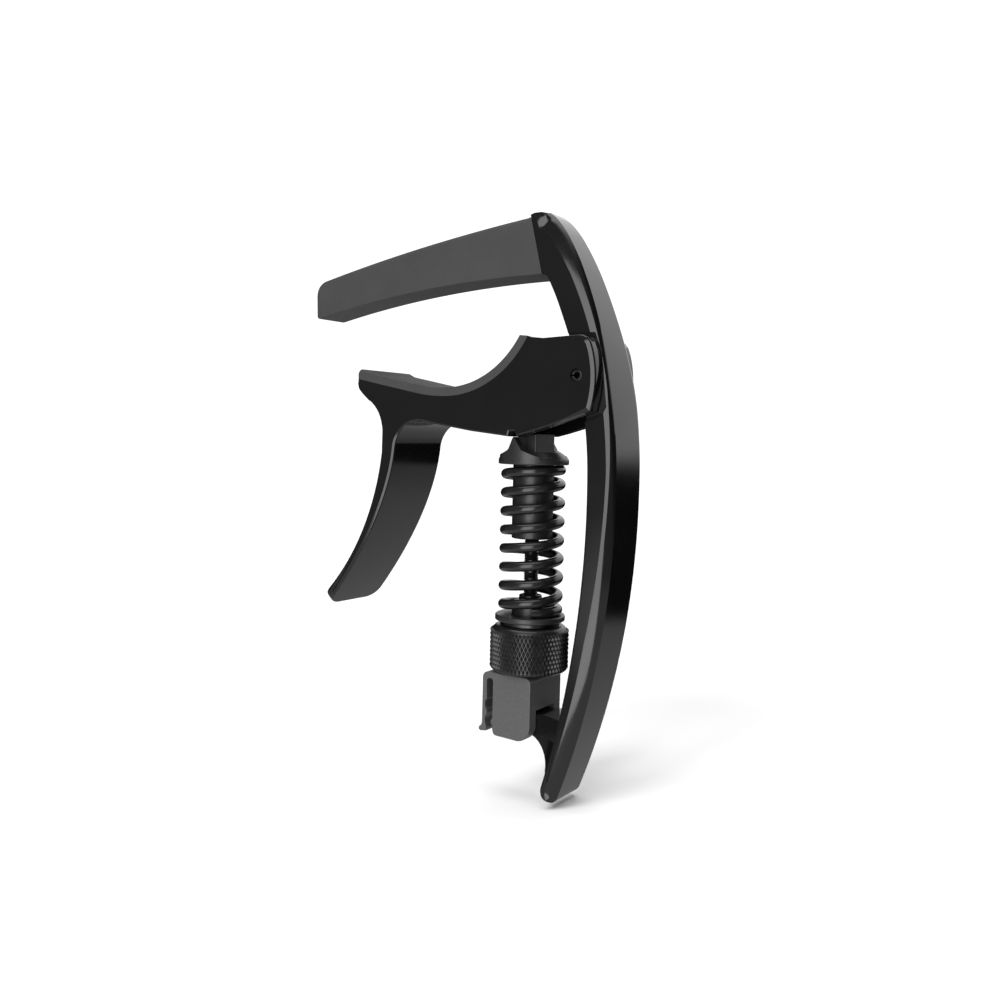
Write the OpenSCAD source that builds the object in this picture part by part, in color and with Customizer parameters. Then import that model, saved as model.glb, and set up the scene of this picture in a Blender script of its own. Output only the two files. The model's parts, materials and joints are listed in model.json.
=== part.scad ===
/* [Pivot and clamp] */
// Distance along X from the middle of the string contact to the lever's pivot
pivot_x = 39.5; // [38:0.5:41]
// Depth of the lever's pivot below the string contact
pivot_drop = 19.4; // [19:0.1:19.8]
// Diameter of the hollow spring pin that the lever turns on
pin_d = 2.4; // [2:0.1:3]
// Outer diameter of the bush in the frame's hub
bush_d = 4.2; // [3.8:0.1:4.6]

/* [Frame casting] */
// Forward reach of the spine's outer face from the pivot axis
spine_front = 6.8; // [6.4:0.1:7.2]
// Forward reach of the spine's inner edge from the pivot axis
spine_back = 1.3; // [1:0.1:1.6]
// Full width of the spine at and below the hub
spine_w = 12.6; // [12.2:0.1:13]
// Width of the frame at the top, where it meets the sleeve
neck_w = 8.6; // [8.2:0.1:9]
// Width of the gusset that carries the strut
gusset_w = 6.4; // [5.6:0.1:6.6]
// Width of the hub between the two pockets
hub_w = 10.2; // [9.8:0.1:10.4]

/* [Arm sleeve] */
// Radius of the arched underside, which matches a fretboard
sleeve_arch_r = 283; // [250:1:320]
// Wall thickness of the rubber sleeve
sleeve_wall = 1.1; // [0.8:0.1:1.4]

/* [Lever] */
// Overall width of the lever
lever_w = 16.3; // [16:0.1:17]
// Thickness of the rubber pad
pad_t = 1.75; // [1.4:0.05:1.9]
// Thickness of the curved finger plate
handle_t = 3.4; // [3:0.1:4]

/* [Strut] */
// Outer diameter of the compression spring
spring_d = 13; // [12.4:0.1:13.2]
// Diameter of the spring wire
wire_d = 2; // [1.6:0.1:2.1]
// Number of spring turns
turns = 8; // [7:0.25:8]
// Diameter of the yoke's and the lower seat's rims
rim_d = 14.1; // [13.6:0.1:14.4]
// Diameter of the tension wheel
wheel_d = 15.9; // [15.4:0.1:16.2]
// Height of the tension wheel
wheel_h = 9.3; // [9:0.1:9.4]
// Diameter of the rod's thread
rod_d = 3; // [2.6:0.1:3.2]

/* [Pick holder] */
// Width of the bracket across the strut
bracket_w = 11.8; // [11:0.1:12.4]
// Width of the slot that grips a pick
slot_w = 1.5; // [1.2:0.1:1.6]

/* [Hidden] */
$fn = 96;
gap = 0.05;
through = 40;

// Points of an arc in the side view, centred at c, from angle a0 to angle a1
function arc(c, r, a0, a1, n = 12) =
    [for (i = [0:n]) let (a = a0 + (a1 - a0) * i / n) [c[0] + r * cos(a), c[1] + r * sin(a)]];

// Sideways step of an arc of radius r that starts upright, after a rise of h
function bow(r, h) = r - sqrt(r * r - h * h);

// Everything is drawn around the pivot, then moved so that the origin is at the string contact
module from_pivot() {
    translate([pivot_x, 0, -pivot_drop]) children();
}

// A side-view outline, extruded to a width and centred on the plane of symmetry
module slab(w) {
    rotate([90, 0, 0]) linear_extrude(height = w, center = true) children();
}

// A round bar across the object
module cross_bar(d, w) {
    rotate([90, 0, 0]) cylinder(d = d, h = w, center = true);
}

// --- Spine: two outer arcs and two inner arcs, upright at the waist ---
waist_z = -18;
outer_up_r = 97;
outer_down_r = 165;
inner_up_r = 76;
inner_down_r = 190;
tip_z = -82.4;
brow_z = 30.9;

// The outer face bends in a little more as it nears the brow
function lean_in(z) = z > 20 ? 0.006 * (z - 20) * (z - 20) : 0;
function outer_x(z) =
    spine_front - bow(z > waist_z ? outer_up_r : outer_down_r, z - waist_z) - lean_in(z);
function inner_x(z) = spine_back - bow(z > waist_z ? inner_up_r : inner_down_r, z - waist_z);
// Depth of the bevel along the spine, shallowest at the hub
function bevel(z) = z > -6 ? 0.95 + 0.042 * (z + 6) : 0.95 - 0.034 * (z + 6);
// Half width of the spine, which narrows towards the arm and a little towards the tip
hub_top_z = -6;
narrow = (spine_w - neck_w) / 2 / (brow_z - hub_top_z);
function half_w(z) =
    z > hub_top_z ? spine_w / 2 - narrow * (z - hub_top_z)
    : z < -50 ? spine_w / 2 + 0.012 * (z + 50)
    : spine_w / 2;
bevel_w = 1.5;

// One level section of the spine, as six points
function section(z) = [
    [inner_x(z) - 3, -half_w(z), z],
    [outer_x(z) - bevel(z), -half_w(z), z],
    [outer_x(z), bevel_w - half_w(z), z],
    [outer_x(z), half_w(z) - bevel_w, z],
    [outer_x(z) - bevel(z), half_w(z), z],
    [inner_x(z) - 3, half_w(z), z]];

section_n = 30;
section_zs = [for (i = [0:section_n]) tip_z - 1 + (brow_z + 3 - tip_z) * i / section_n];

// The bevelled bar, before its side outline is cut
module spine_loft() {
    n = 6;
    last = section_n * n;
    points = [for (z = section_zs) each section(z)];
    sides = [for (i = [0:section_n - 1], k = [0:n - 1]) let (m = (k + 1) % n)
        each [[i * n + k, (i + 1) * n + k, (i + 1) * n + m], [i * n + k, (i + 1) * n + m, i * n + m]]];
    bottom = [[for (k = [0:n - 1]) k]];
    top = [[for (k = [n - 1:-1:0]) last + k]];
    polyhedron(points, concat(sides, bottom, top));
}

// Line where the sleeve meets the frame, from the top to the underside
sleeve_seam = [[-12.3, 31.55], [-9.75, 19.95]];

// Side outline of the spine: the tip, a line well clear of the outer face, the brow,
// the sleeve's end and the inner edge
spine_outline = concat(
    arc([-7.5, -80.1], 2.2, 185, 275, 6),
    [[-6.3, tip_z], [-3, tip_z + 0.5], [spine_front + 3, tip_z + 8], [spine_front + 3, brow_z - 12]],
    [[outer_x(brow_z) + 2.4, brow_z - 1.4], [outer_x(brow_z) - 0.2, brow_z]],
    [[-8.8, 31.7], [-10.4, 32.1], sleeve_seam[0], sleeve_seam[1]],
    [for (i = [0:14]) let (z = 19.4 + (waist_z - 19.4) * i / 14) [inner_x(z), z]],
    [for (i = [1:16]) let (z = waist_z + (-79.6 - waist_z) * i / 16) [inner_x(z), z]]);

// --- Gusset: the strut's lower foot, a rounded nose on a curved web ---
foot = [-15.6, -67.6];
nose_r = 2.1;

module gusset() {
    web = concat(
        [[0, foot[1] + 1.5], [foot[0], foot[1] + 1.5], [foot[0], foot[1] - nose_r]],
        arc([foot[0] - 0.2, -77.4], 7.8, 88, 8, 10),
        [[-6, -77.4], [-3, -72]]);
    intersection() {
        slab(gusset_w) polygon(web);
        slab(gusset_w + 1) polygon([[-30, -60], [-2.5, -60], [-6, -78], [-30, -78]]);
    }
    translate([foot[0], 0, foot[1]]) cross_bar(2 * nose_r, gusset_w);
}

// --- Hub: round boss for the bush, with a pocket in each side for the lever's cheeks ---
hub_r = 4.8;

// Room that a cheek needs beside the hub over its whole turn
pocket_outline = concat(
    [[-12, 8.4], [-12, -9.6]],
    arc([0, 0], 8.6, 270, 303, 5),
    [[5.3, -5.9], [4.95, -3.2], [4.42, 1.2], [3.8, 4.8], [2.5, 8.0]]);

module hub_pockets() {
    for (side = [-1, 1]) translate([0, side * (hub_w / 2 + 4), 0])
        slab(8) polygon(pocket_outline);
}

// --- Arm: the metal core inside the sleeve ---
arm_top_r = 500;
function arm_top(x) = 32.75 - bow(arm_top_r, x - 25);
arm_slope = 0.07;
function arm_under(x) = pivot_drop + arm_slope * (x + pivot_x) - bow(sleeve_arch_r, x + pivot_x);
arm_end_x = -69.6;
arm_root_x = -9.4;

// Side outline of the arm, inset by m on every face
function arm_outline(m) = concat(
    [[arm_end_x + m, arm_under(-68) + m + 1.2]],
    [[arm_end_x + m + 1.1, arm_under(-68) + m]],
    [for (i = [0:12]) let (x = -67 + (arm_root_x + 67) * i / 12) [x, arm_under(x) + m]],
    [for (i = [0:12]) let (x = -11.9 + (-67.4 + 11.9) * i / 12) [x, arm_top(x) - m]],
    [[arm_end_x + m - 0.3, arm_top(-69) - m - 1.4]]);

seam_run = sleeve_seam[0] - sleeve_seam[1];

module frame_casting() {
    color([0.09, 0.09, 0.09]) from_pivot() difference() {
        union() {
            intersection() {
                spine_loft();
                slab(spine_w + 2) polygon(spine_outline);
            }
            slab(neck_w - 2 * sleeve_wall) polygon(arm_outline(sleeve_wall));
            gusset();
            cross_bar(2 * hub_r, hub_w);
        }
        hub_pockets();
        cross_bar(bush_d, through);
    }
}

// Rubber sleeve over the arm, closed at the free end
module arm_sleeve() {
    color([0.25, 0.25, 0.25]) from_pivot() difference() {
        union() {
            slab(neck_w - 1.6) polygon(arm_outline(0));
            slab(neck_w) polygon(arm_outline(0.45));
        }
        slab(neck_w - 2 * sleeve_wall + gap) polygon(arm_outline(sleeve_wall - gap / 2));
        slab(through) polygon([sleeve_seam[0] + 0.1 * seam_run, sleeve_seam[1] - 0.1 * seam_run,
            [0, 18], [0, 34]]);
    }
}

// Plain bearing bush, pressed into the hub
module pivot_bush() {
    color([0.72, 0.55, 0.3]) from_pivot() difference() {
        cross_bar(bush_d, hub_w);
        cross_bar(pin_d + 0.08, through);
    }
}

// --- Lever: two cheeks, a curved saddle under the pad, and the finger plate ---
cheek_in = hub_w / 2 + 0.35;
cheek_t = lever_w / 2 - cheek_in;
knife = [-14, -10.8];
trough_x = -29.6;
trough_z = -2.9;
saddle_r = 22.3;
shoulder_r = 38;
flat_slope = 12;

// Curve that the pad lies on, from the hub down to the trough and up to the free end, lifted by m
function saddle(m) = concat(
    arc([trough_x, trough_z + saddle_r], saddle_r - m, 329, 270, 14),
    arc([trough_x, trough_z + shoulder_r], shoulder_r - m, 268, 270 - flat_slope, 5));
saddle_tip = [-53.4, 1.45];

// Underside of the lever's beam, from the knife notch to the finger plate
beam_under = concat(
    [[-15.1, -11.15], [-24, -10], [-33, -8.45], [-36, -7.8]],
    arc([-37.4, -13.9], 6.2, 88, 176, 8));
// Inner and outer faces of the finger plate
plate_inner = arc([-117, 5.1], 75.6, -16.3, -43, 10);
plate_outer = arc([-100.7, -5.65], 54.1, -47, -9.1, 10);

// The knife notch, open below, with room for the yoke to rock
knife_notch = [[-13.2, -11.1], [-13.6, -10.15], [-14.8, -10.15], [-15.1, -11.15]];

hub_edge = arc([-15.6, -0.25], 19.6, -19.4, 15, 10);

// Full side outline of the lever
lever_outline = concat(
    [[-9.7, 7.6], [-7.1, 7.3], [0.3, 7.4], [1.3, 7.45], [2.2, 7], [2.9, 6.1]],
    [for (i = [10:-1:0]) hub_edge[i]],
    [[-2.1, -8.1], [-6.2, -9.4], [-10.5, -10.5]],
    knife_notch,
    beam_under,
    plate_inner,
    arc([-62.7, -46.5], 1.35, -58, -200, 5),
    plate_outer,
    arc([-54.6, -9.6], 7.6, -8, 58, 7),
    [[-52.4, -1.6], [-53.3, -0.6], [-53.55, 0.4], saddle_tip],
    [for (i = [len(saddle(0)) - 1:-1:0]) saddle(0)[i]]);

// Room between the cheeks, below the saddle
channel_outline = concat(
    [[20, 20], [20, -30], [-15.1, -30], [-15.1, -11.1], [-24, -9.95], [-36, -7.7], [-37.5, -6.2],
     [-36.5, -4.6], [-30, -5.3]],
    arc([trough_x, trough_z + saddle_r], saddle_r + 2.4, 276, 300, 6),
    [[-14.2, -1.6], [-9.6, 3.2], [-8.6, 7], [-8.6, 20]]);

module lever_casting() {
    color([0.08, 0.08, 0.08]) from_pivot() difference() {
        slab(lever_w) polygon(lever_outline);
        slab(2 * cheek_in) polygon(channel_outline);
        cross_bar(pin_d, through);
    }
}

// Rubber pad that bears on the back of the neck
module lever_pad() {
    lower = saddle(0);
    upper = saddle(pad_t);
    outline = concat(
        [for (p = lower) p],
        [saddle_tip, saddle_tip + [-0.1, 1.2], saddle_tip + [0.9, 2.05], [-50.9, 2.7]],
        [for (i = [len(upper) - 1:-1:1]) upper[i]]);
    color([0.28, 0.28, 0.28]) from_pivot() slab(lever_w) polygon(outline);
}

// Thin slippery washers between the hub and the cheeks
module hub_washers() {
    color([0.2, 0.2, 0.2]) from_pivot() for (side = [-1, 1])
        translate([0, side * (hub_w / 2 + 0.17), 0]) difference() {
            cross_bar(8, 0.26);
            cross_bar(pin_d + 0.3, 2);
        }
}

// Hollow spring pin, pressed into both cheeks
module pivot_pin() {
    color([0.16, 0.16, 0.16]) from_pivot() difference() {
        cross_bar(pin_d, lever_w - 0.5);
        cross_bar(pin_d / 2, through);
        translate([-pin_d / 2, 0, 0]) cube([pin_d, through, 0.3], center = true);
    }
}

// --- Strut: built upright on the foot, then leaned to meet the lever's knife notch ---
lean = atan((knife[0] - foot[0]) / (knife[1] - foot[1]));
knife_s = norm(knife - foot);
yoke_under = 51;
yoke_rim_h = 1.7;
tube_end = 36.2;
seat_top = 20.9;
seat_h = 1.2;
wheel_top = 18.8;
bracket_top = 9.2;

module strut() {
    from_pivot() translate([foot[0], 0, foot[1]]) rotate([0, lean, 0]) children();
}

// Cap on the spring, with two knife edges for the cheeks, a centring block and a guide tube
module spring_yoke() {
    wall = 1.75;
    half_rim = rim_d / 2;
    edge_s = knife_s - 0.1;
    wedge = [[-half_rim, yoke_under + 2], [-5, yoke_under + 3.1], [-1.9, yoke_under + 3.1],
        [-0.15, edge_s], [0.15, edge_s], [2.6, yoke_under + 2.7], [half_rim, yoke_under + 1.9]];
    color([0.17, 0.17, 0.17]) strut() difference() {
        union() {
            translate([0, 0, yoke_under]) cylinder(d = rim_d, h = yoke_rim_h);
            translate([0, 0, yoke_under + yoke_rim_h])
                cylinder(d1 = rim_d, d2 = rim_d - 3, h = 0.9);
            translate([0, 0, tube_end]) cylinder(d = 8.2, h = yoke_under - tube_end + 1);
            intersection() {
                for (side = [-1, 1]) translate([0, side * (half_rim - wall / 2), 0])
                    slab(wall) polygon(concat(wedge, [[half_rim, yoke_under], [-half_rim, yoke_under]]));
                translate([0, 0, yoke_under]) cylinder(d = rim_d, h = 8);
            }
            translate([-2.6, -3.6, yoke_under]) cube([6.4, 7.2, 4.3]);
        }
        translate([0, 0, tube_end - 1]) cylinder(d = rod_d + 1.4, h = 17.4);
    }
}

// Rings of the spring: the pitch closes over the first and last half turn
steps = 20;
spring_low = seat_top + wire_d / 2 + 0.02;
spring_high = yoke_under - wire_d / 2 - 0.02;
coil_r = (spring_d - wire_d) / 2;
first_angle = 34;
ring_n = turns * steps;
wire_n = 8;
// Rise of the wire's centre, slow at each end
function eased(t) = let (e = 0.35 / turns) t < e ? t * t / (2 * e)
    : t > 1 - e ? 1 - e - (1 - t) * (1 - t) / (2 * e)
    : t - e / 2;
function rise(t) = spring_low + (spring_high - spring_low) * eased(t) / (1 - 0.35 / turns);
function wire_ring(i) = let (t = i / ring_n, a = first_angle + 360 * turns * t)
    [for (k = [0:wire_n - 1]) let (b = 360 * k / wire_n, r = coil_r + wire_d / 2 * cos(b))
        [r * cos(a), r * sin(a), rise(t) + wire_d / 2 * sin(b)]];

module compression_spring() {
    points = [for (i = [0:ring_n]) each wire_ring(i)];
    sides = [for (i = [0:ring_n - 1], k = [0:wire_n - 1]) let (m = (k + 1) % wire_n, j = i + 1)
        each [[i * wire_n + k, i * wire_n + m, j * wire_n + k],
            [i * wire_n + m, j * wire_n + m, j * wire_n + k]]];
    ends = [[for (k = [wire_n - 1:-1:0]) k], [for (k = [0:wire_n - 1]) ring_n * wire_n + k]];
    color([0.12, 0.12, 0.12]) strut() polyhedron(points, concat(sides, ends));
}

// Lower seat of the spring: a flange with a collar that keeps the coil centred
module spring_seat() {
    color([0.17, 0.17, 0.17]) strut() difference() {
        union() {
            translate([0, 0, seat_top - seat_h]) cylinder(d = rim_d, h = seat_h);
            translate([0, 0, seat_top]) cylinder(d = 7.4, h = 2.6);
        }
        cylinder(d = 5, h = 60);
    }
}

// Steel washer that lets the wheel turn under the loaded seat
module thrust_washer() {
    color([0.35, 0.35, 0.35]) strut() difference() {
        translate([0, 0, wheel_top + 0.05]) cylinder(d = 12, h = seat_top - seat_h - wheel_top - 0.1);
        cylinder(d = 5, h = 60);
    }
}

// Knurled wheel that sets the spring's preload
module tension_wheel() {
    top_bevel = 0.8;
    foot_bevel = 0.5;
    r = wheel_d / 2;
    profile = [[2.8, wheel_top - wheel_h], [r - foot_bevel, wheel_top - wheel_h],
        [r, wheel_top - wheel_h + foot_bevel], [r, wheel_top - top_bevel],
        [r - top_bevel, wheel_top], [2.8, wheel_top]];
    color([0.1, 0.1, 0.1]) strut() rotate_extrude() polygon(profile);
}

// Threaded steel insert, pressed into the wheel, with a neck that guides the seat
module wheel_insert() {
    neck_top = seat_top + 3.9;
    color([0.14, 0.14, 0.14]) strut() difference() {
        union() {
            translate([0, 0, wheel_top - wheel_h]) cylinder(r = 2.8, h = wheel_h);
            translate([0, 0, wheel_top]) cylinder(d = 4.6, h = neck_top - wheel_top);
        }
        cylinder(d = rod_d + 0.1, h = 60);
    }
}

// Threaded rod that carries the wheel and guides the yoke's tube
module tension_rod() {
    foot_s = 4.4;
    head_s = 45.8;
    head_h = 1.6;
    color([0.15, 0.15, 0.15]) strut() {
        translate([0, 0, foot_s]) cylinder(d = rod_d, h = head_s - foot_s);
        translate([0, 0, head_s]) cylinder(d = rod_d + 1.2, h = head_h);
    }
}

// --- Bracket: saddle on the frame's foot, with a slot that holds a pick ---
// Outline in the strut's own side view, the foot at the origin
left = -7.2;
right = 4.15;
bottom = -3.7;
slot_x = left + 1;

module rounded_plate() {
    difference() {
        polygon(concat(
            arc([left + 1.3, bracket_top - 1.3], 1.3, 180, 90, 5),
            arc([right - 1.3, bracket_top - 1.3], 1.3, 90, 0, 5),
            arc([right - 3, bottom + 3], 3, 0, -90, 7),
            [[slot_x + slot_w + 0.6, bottom + 0.2], [slot_x + slot_w, bottom + 1],
             [left - 0.7, bottom + 0.6], [left - 0.6, bottom + 1.4], [left, bottom + 2]]));
        polygon(concat(
            arc([slot_x + slot_w / 2, bracket_top - 2], slot_w / 2, 180, 0, 6),
            [[slot_x + slot_w, bottom + 3.4], [slot_x + slot_w - 0.5, bottom + 2.8],
             [slot_x + slot_w, bottom + 2], [slot_x + slot_w, bottom - 1], [slot_x - 0.1, bottom - 1],
             [slot_x + 0.1, bottom + 1.4], [slot_x - 0.35, bottom + 3], [slot_x + 0.15, bottom + 4.4],
             [slot_x + 0.1, bottom + 5], [slot_x - 0.35, bottom + 6.2], [slot_x + 0.1, bottom + 7.4]]));
    }
}

module pick_bracket() {
    inner_w = gusset_w + 0.6;
    color([0.3, 0.3, 0.3]) strut() difference() {
        slab(bracket_w) rounded_plate();
        cross_bar(2 * (nose_r + 0.1), inner_w);
        slab(inner_w) polygon([[-nose_r - 0.1, 0], [-1.6, -20], [20, -20], [20, 2.45],
            [2, 2.45], [1.4, 1.6]]);
        translate([0, 0, 4.3]) cylinder(d = rod_d, h = 30);
    }
}

frame_casting();
arm_sleeve();
pivot_bush();
hub_washers();
lever_casting();
lever_pad();
pivot_pin();
spring_yoke();
compression_spring();
spring_seat();
thrust_washer();
tension_wheel();
wheel_insert();
tension_rod();
pick_bracket();
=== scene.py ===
import json
import math

import bmesh
import bpy
from mathutils import Matrix, Vector
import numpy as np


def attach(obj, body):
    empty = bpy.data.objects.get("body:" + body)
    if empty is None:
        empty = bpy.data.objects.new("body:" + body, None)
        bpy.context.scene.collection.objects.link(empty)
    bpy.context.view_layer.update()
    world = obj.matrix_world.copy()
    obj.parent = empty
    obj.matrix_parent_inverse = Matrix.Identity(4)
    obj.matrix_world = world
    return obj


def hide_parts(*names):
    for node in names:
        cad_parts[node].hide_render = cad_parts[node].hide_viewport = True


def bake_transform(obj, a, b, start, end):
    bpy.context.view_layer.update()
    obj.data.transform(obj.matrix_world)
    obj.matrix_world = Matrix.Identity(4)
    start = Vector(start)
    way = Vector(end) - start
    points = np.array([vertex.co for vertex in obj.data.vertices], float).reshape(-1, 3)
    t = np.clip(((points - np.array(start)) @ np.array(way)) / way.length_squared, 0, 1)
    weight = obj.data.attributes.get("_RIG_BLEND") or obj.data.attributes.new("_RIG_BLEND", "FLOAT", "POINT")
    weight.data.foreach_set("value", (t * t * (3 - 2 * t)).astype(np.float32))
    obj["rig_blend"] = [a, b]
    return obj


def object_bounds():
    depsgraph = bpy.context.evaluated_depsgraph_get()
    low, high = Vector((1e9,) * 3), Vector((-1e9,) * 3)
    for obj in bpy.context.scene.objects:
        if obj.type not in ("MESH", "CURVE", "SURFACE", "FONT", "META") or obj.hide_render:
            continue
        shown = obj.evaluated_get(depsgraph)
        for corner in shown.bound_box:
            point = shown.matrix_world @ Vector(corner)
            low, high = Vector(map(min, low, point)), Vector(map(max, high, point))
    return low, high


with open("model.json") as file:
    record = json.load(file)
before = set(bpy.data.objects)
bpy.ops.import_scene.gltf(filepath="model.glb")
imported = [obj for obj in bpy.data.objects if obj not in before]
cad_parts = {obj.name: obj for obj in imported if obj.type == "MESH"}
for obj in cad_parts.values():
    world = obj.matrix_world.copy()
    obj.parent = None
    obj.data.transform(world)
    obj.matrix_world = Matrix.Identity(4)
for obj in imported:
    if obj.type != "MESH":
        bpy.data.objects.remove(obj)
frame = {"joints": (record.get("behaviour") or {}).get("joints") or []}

cad_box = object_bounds()

# Studio. The clamp stands on its tip over a pale round table, with a tall soft light in front, a bright
# wall of light behind and overhead, and dark room in between, so that black paint shows its curves.
joints = {joint["name"]: joint for joint in frame["joints"]}
pivot = Vector(joints["lever_open"]["pos_m"])
to_frame = Matrix.Translation(pivot) @ Matrix.Scale(0.001, 4)


class Wire:
    """One output of a node. A sum written with it adds its Math node."""

    def __init__(self, plan, socket):
        self.plan, self.socket = plan, socket

    def out(self, name):
        return Wire(self.plan, self.socket.node.outputs[name])

    def sum(self, operation, *values):
        return self.plan.add("ShaderNodeMath", {"operation": operation}, dict(enumerate(values)))

    def __add__(self, other):
        return self.sum("ADD", self, other)

    def __sub__(self, other):
        return self.sum("SUBTRACT", self, other)

    def __rsub__(self, other):
        return self.sum("SUBTRACT", other, self)

    def __mul__(self, other):
        return self.sum("MULTIPLY", self, other)

    def __truediv__(self, other):
        return self.sum("DIVIDE", self, other)

    __radd__ = __add__
    __rmul__ = __mul__


class Plan:
    """A node tree: add() makes one node from its type, its settings and what goes into its sockets."""

    def __init__(self, tree):
        self.tree = tree

    def add(self, kind, settings=None, inputs=None):
        node = self.tree.nodes.new(kind)
        for name, value in (settings or {}).items():
            if name == "stops":
                while len(node.color_ramp.elements) < len(value):
                    node.color_ramp.elements.new(0.5)
                for element, (place, grey) in zip(node.color_ramp.elements, value):
                    element.position, element.color = place, (grey, grey, grey, 1)
            else:
                setattr(node, name, value)
        for name, value in (inputs or {}).items():
            if isinstance(value, Wire):
                self.tree.links.new(value.socket, node.inputs[name])
            else:
                node.inputs[name].default_value = value
        return Wire(self, node.outputs[0]) if node.outputs else node

    def step(self, value, low, high, start, end):
        """Rises smoothly from start to end while value goes from low to high."""
        return self.add(
            "ShaderNodeMapRange",
            {"interpolation_type": "SMOOTHSTEP"},
            {"Value": value, "From Min": low, "From Max": high, "To Min": start, "To Max": end},
        )


def light_the_room():
    """What black paint mirrors: a bright wall behind on the right, a high ceiling, a low glow under the
    clamp and a small low patch in front. Dull surfaces also get light from below, and past the clamp the
    camera sees plain white."""
    world = bpy.data.worlds.new("room")
    world.use_nodes = True
    world.node_tree.nodes.clear()
    plan = Plan(world.node_tree)
    direction = plan.add("ShaderNodeTexCoord").out("Generated")
    parts = plan.add("ShaderNodeSeparateXYZ", {}, {"Vector": direction})
    height = parts.out("Z")

    def towards(azimuth, elevation):
        """How nearly a direction points one way: 1 when it does."""
        a, e = math.radians(azimuth), math.radians(elevation)
        way = (math.cos(a) * math.cos(e), math.sin(a) * math.cos(e), math.sin(e))
        dot = plan.add("ShaderNodeVectorMath", {"operation": "DOT_PRODUCT"}, {0: direction, 1: way})
        return dot.out("Value")

    rise = plan.step(height, -0.03, 0.05, 0.0, 1.0) * plan.step(height, 0.1, 0.55, 1.05, 1.5)
    wall = plan.step(towards(85, 0), 0.62, 0.76, 0.0, 1.0) * rise
    ceiling = plan.step(height, 0.8, 0.92, 0.0, 3.0)
    floor_glow = plan.step(height, -0.295, -0.33, 0.0, 0.38) + plan.step(height, -0.35, -0.55, 0.0, 0.15)
    low_patch = plan.step(towards(-114, -10), 0.99, 0.999, 0.0, 1.1)
    dim_front = plan.step(parts.out("Y"), 0.1, -0.3, 0.0, 0.16)
    glow = wall.sum("MAXIMUM", wall, ceiling) + floor_glow + low_patch + dim_front
    path = plan.add("ShaderNodeLightPath")
    seen = path.out("Is Camera Ray")
    bounce = path.out("Is Diffuse Ray") * plan.step(height, -0.1, -0.5, 0.0, 0.7)
    strength = seen * 1.15 + (1 - seen) * (glow + bounce)
    back = plan.add("ShaderNodeBackground", {}, {"Color": (1, 1, 1, 1), "Strength": strength})
    plan.add("ShaderNodeOutputWorld", {}, {"Surface": back})
    bpy.context.scene.world = world


def soft_light(name, azimuth, elevation, distance, width, height, radiance, mirrored=True):
    """A rectangle of light that faces the clamp, by the direction it comes from."""
    lamp = bpy.data.lights.new(name, "AREA")
    lamp.shape, lamp.size, lamp.size_y = "RECTANGLE", width, height
    lamp.energy = radiance * math.pi * width * height
    a, e = math.radians(azimuth), math.radians(elevation)
    towards = Vector((math.cos(a) * math.cos(e), math.sin(a) * math.cos(e), math.sin(e)))
    stand = bpy.data.objects.new(name, lamp)
    stand.visible_glossy = mirrored
    bpy.context.scene.collection.objects.link(stand)
    stand.location = pivot + Vector((0, 0, -0.03)) + towards * distance
    stand.rotation_euler = towards.to_track_quat("Z", "Y").to_euler()


def pale_table(radius):
    """A white table just below the tip. Only the camera sees it, so light from below reaches the clamp."""
    drop = 0.0016
    table_top = bpy.data.meshes.new("table_top")
    mesh = bmesh.new()
    bmesh.ops.create_circle(mesh, cap_ends=True, radius=radius, segments=96)
    bmesh.ops.translate(mesh, verts=mesh.verts, vec=(pivot.x, 0.06, cad_box[0].z - drop))
    mesh.to_mesh(table_top)
    mesh.free()
    table = bpy.data.objects.new("table_top", table_top)
    bpy.context.scene.collection.objects.link(table)
    paper = bpy.data.materials.new("table_paper")
    paper.use_nodes = True
    surface = paper.node_tree.nodes["Principled BSDF"]
    surface.inputs["Base Color"].default_value = (0.84, 0.84, 0.84, 1)
    surface.inputs["Roughness"].default_value = 0.9
    surface.inputs["Specular IOR Level"].default_value = 0.0
    plan = Plan(paper.node_tree)
    seen = plan.add("ShaderNodeLightPath").out("Is Camera Ray")
    plan.tree.links.new(seen.socket, surface.inputs["Alpha"])
    table_top.materials.append(paper)


light_the_room()
soft_light("tall_front_light", -77, 3, 0.75, 0.55, 0.98, 3.7)
soft_light("high_key_light", -100, 44, 1.6, 0.6, 0.6, 12.5, False)
pale_table(0.36)

camera = bpy.data.objects.new("camera", bpy.data.cameras.new("camera"))
bpy.context.scene.collection.objects.link(camera)
camera.location = to_frame @ Vector((90.58, -167.37, -13.94))
camera.rotation_euler = (math.radians(90 - 2.85), 0, math.radians(34))
camera.data.sensor_width, camera.data.lens = 36, 35.52
camera.data.clip_start = 0.005
bpy.context.scene.camera = camera
bpy.context.scene.view_settings.view_transform = "Standard"


# Frame casting. One die casting in gloss black paint: a bevelled spine that bows round the neck, the arm's
# core, a hub for the lever's pin with a pocket in each side, and a gusset that carries the strut.
# Every size is in millimetres round the pivot: x forward, z up in the side view, y across.
spine_front, spine_back = 6.8, 1.3
hub_bevel, inner_edge = 1.4, 0.5
tip_z, arm_z = -79.4, 19.4
spine_half, neck_half, waist_z, hub_top_z, brow_z = 6.3, 4.3, -18, -6, 30.9
seam_top, seam_foot = (-12.3, 31.55), (-9.75, 19.95)


def bow(radius, rise):
    """Sideways step of an arc that starts upright, after a rise."""
    return radius - math.sqrt(radius * radius - rise * rise)


def lean_in(z):
    """How far the outer face leans in towards the brow."""
    return 0.006 * max(0, z - 20) ** 2 + 0.035 * max(0, z - 27) ** 2


def outer_x(z):
    """The outer face, which bends in a little more as it nears the brow."""
    return spine_front - bow(97 if z > waist_z else 165, z - waist_z) - lean_in(z)


def inner_x(z):
    return spine_back - bow(76 if z > waist_z else 190, z - waist_z)


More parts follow.
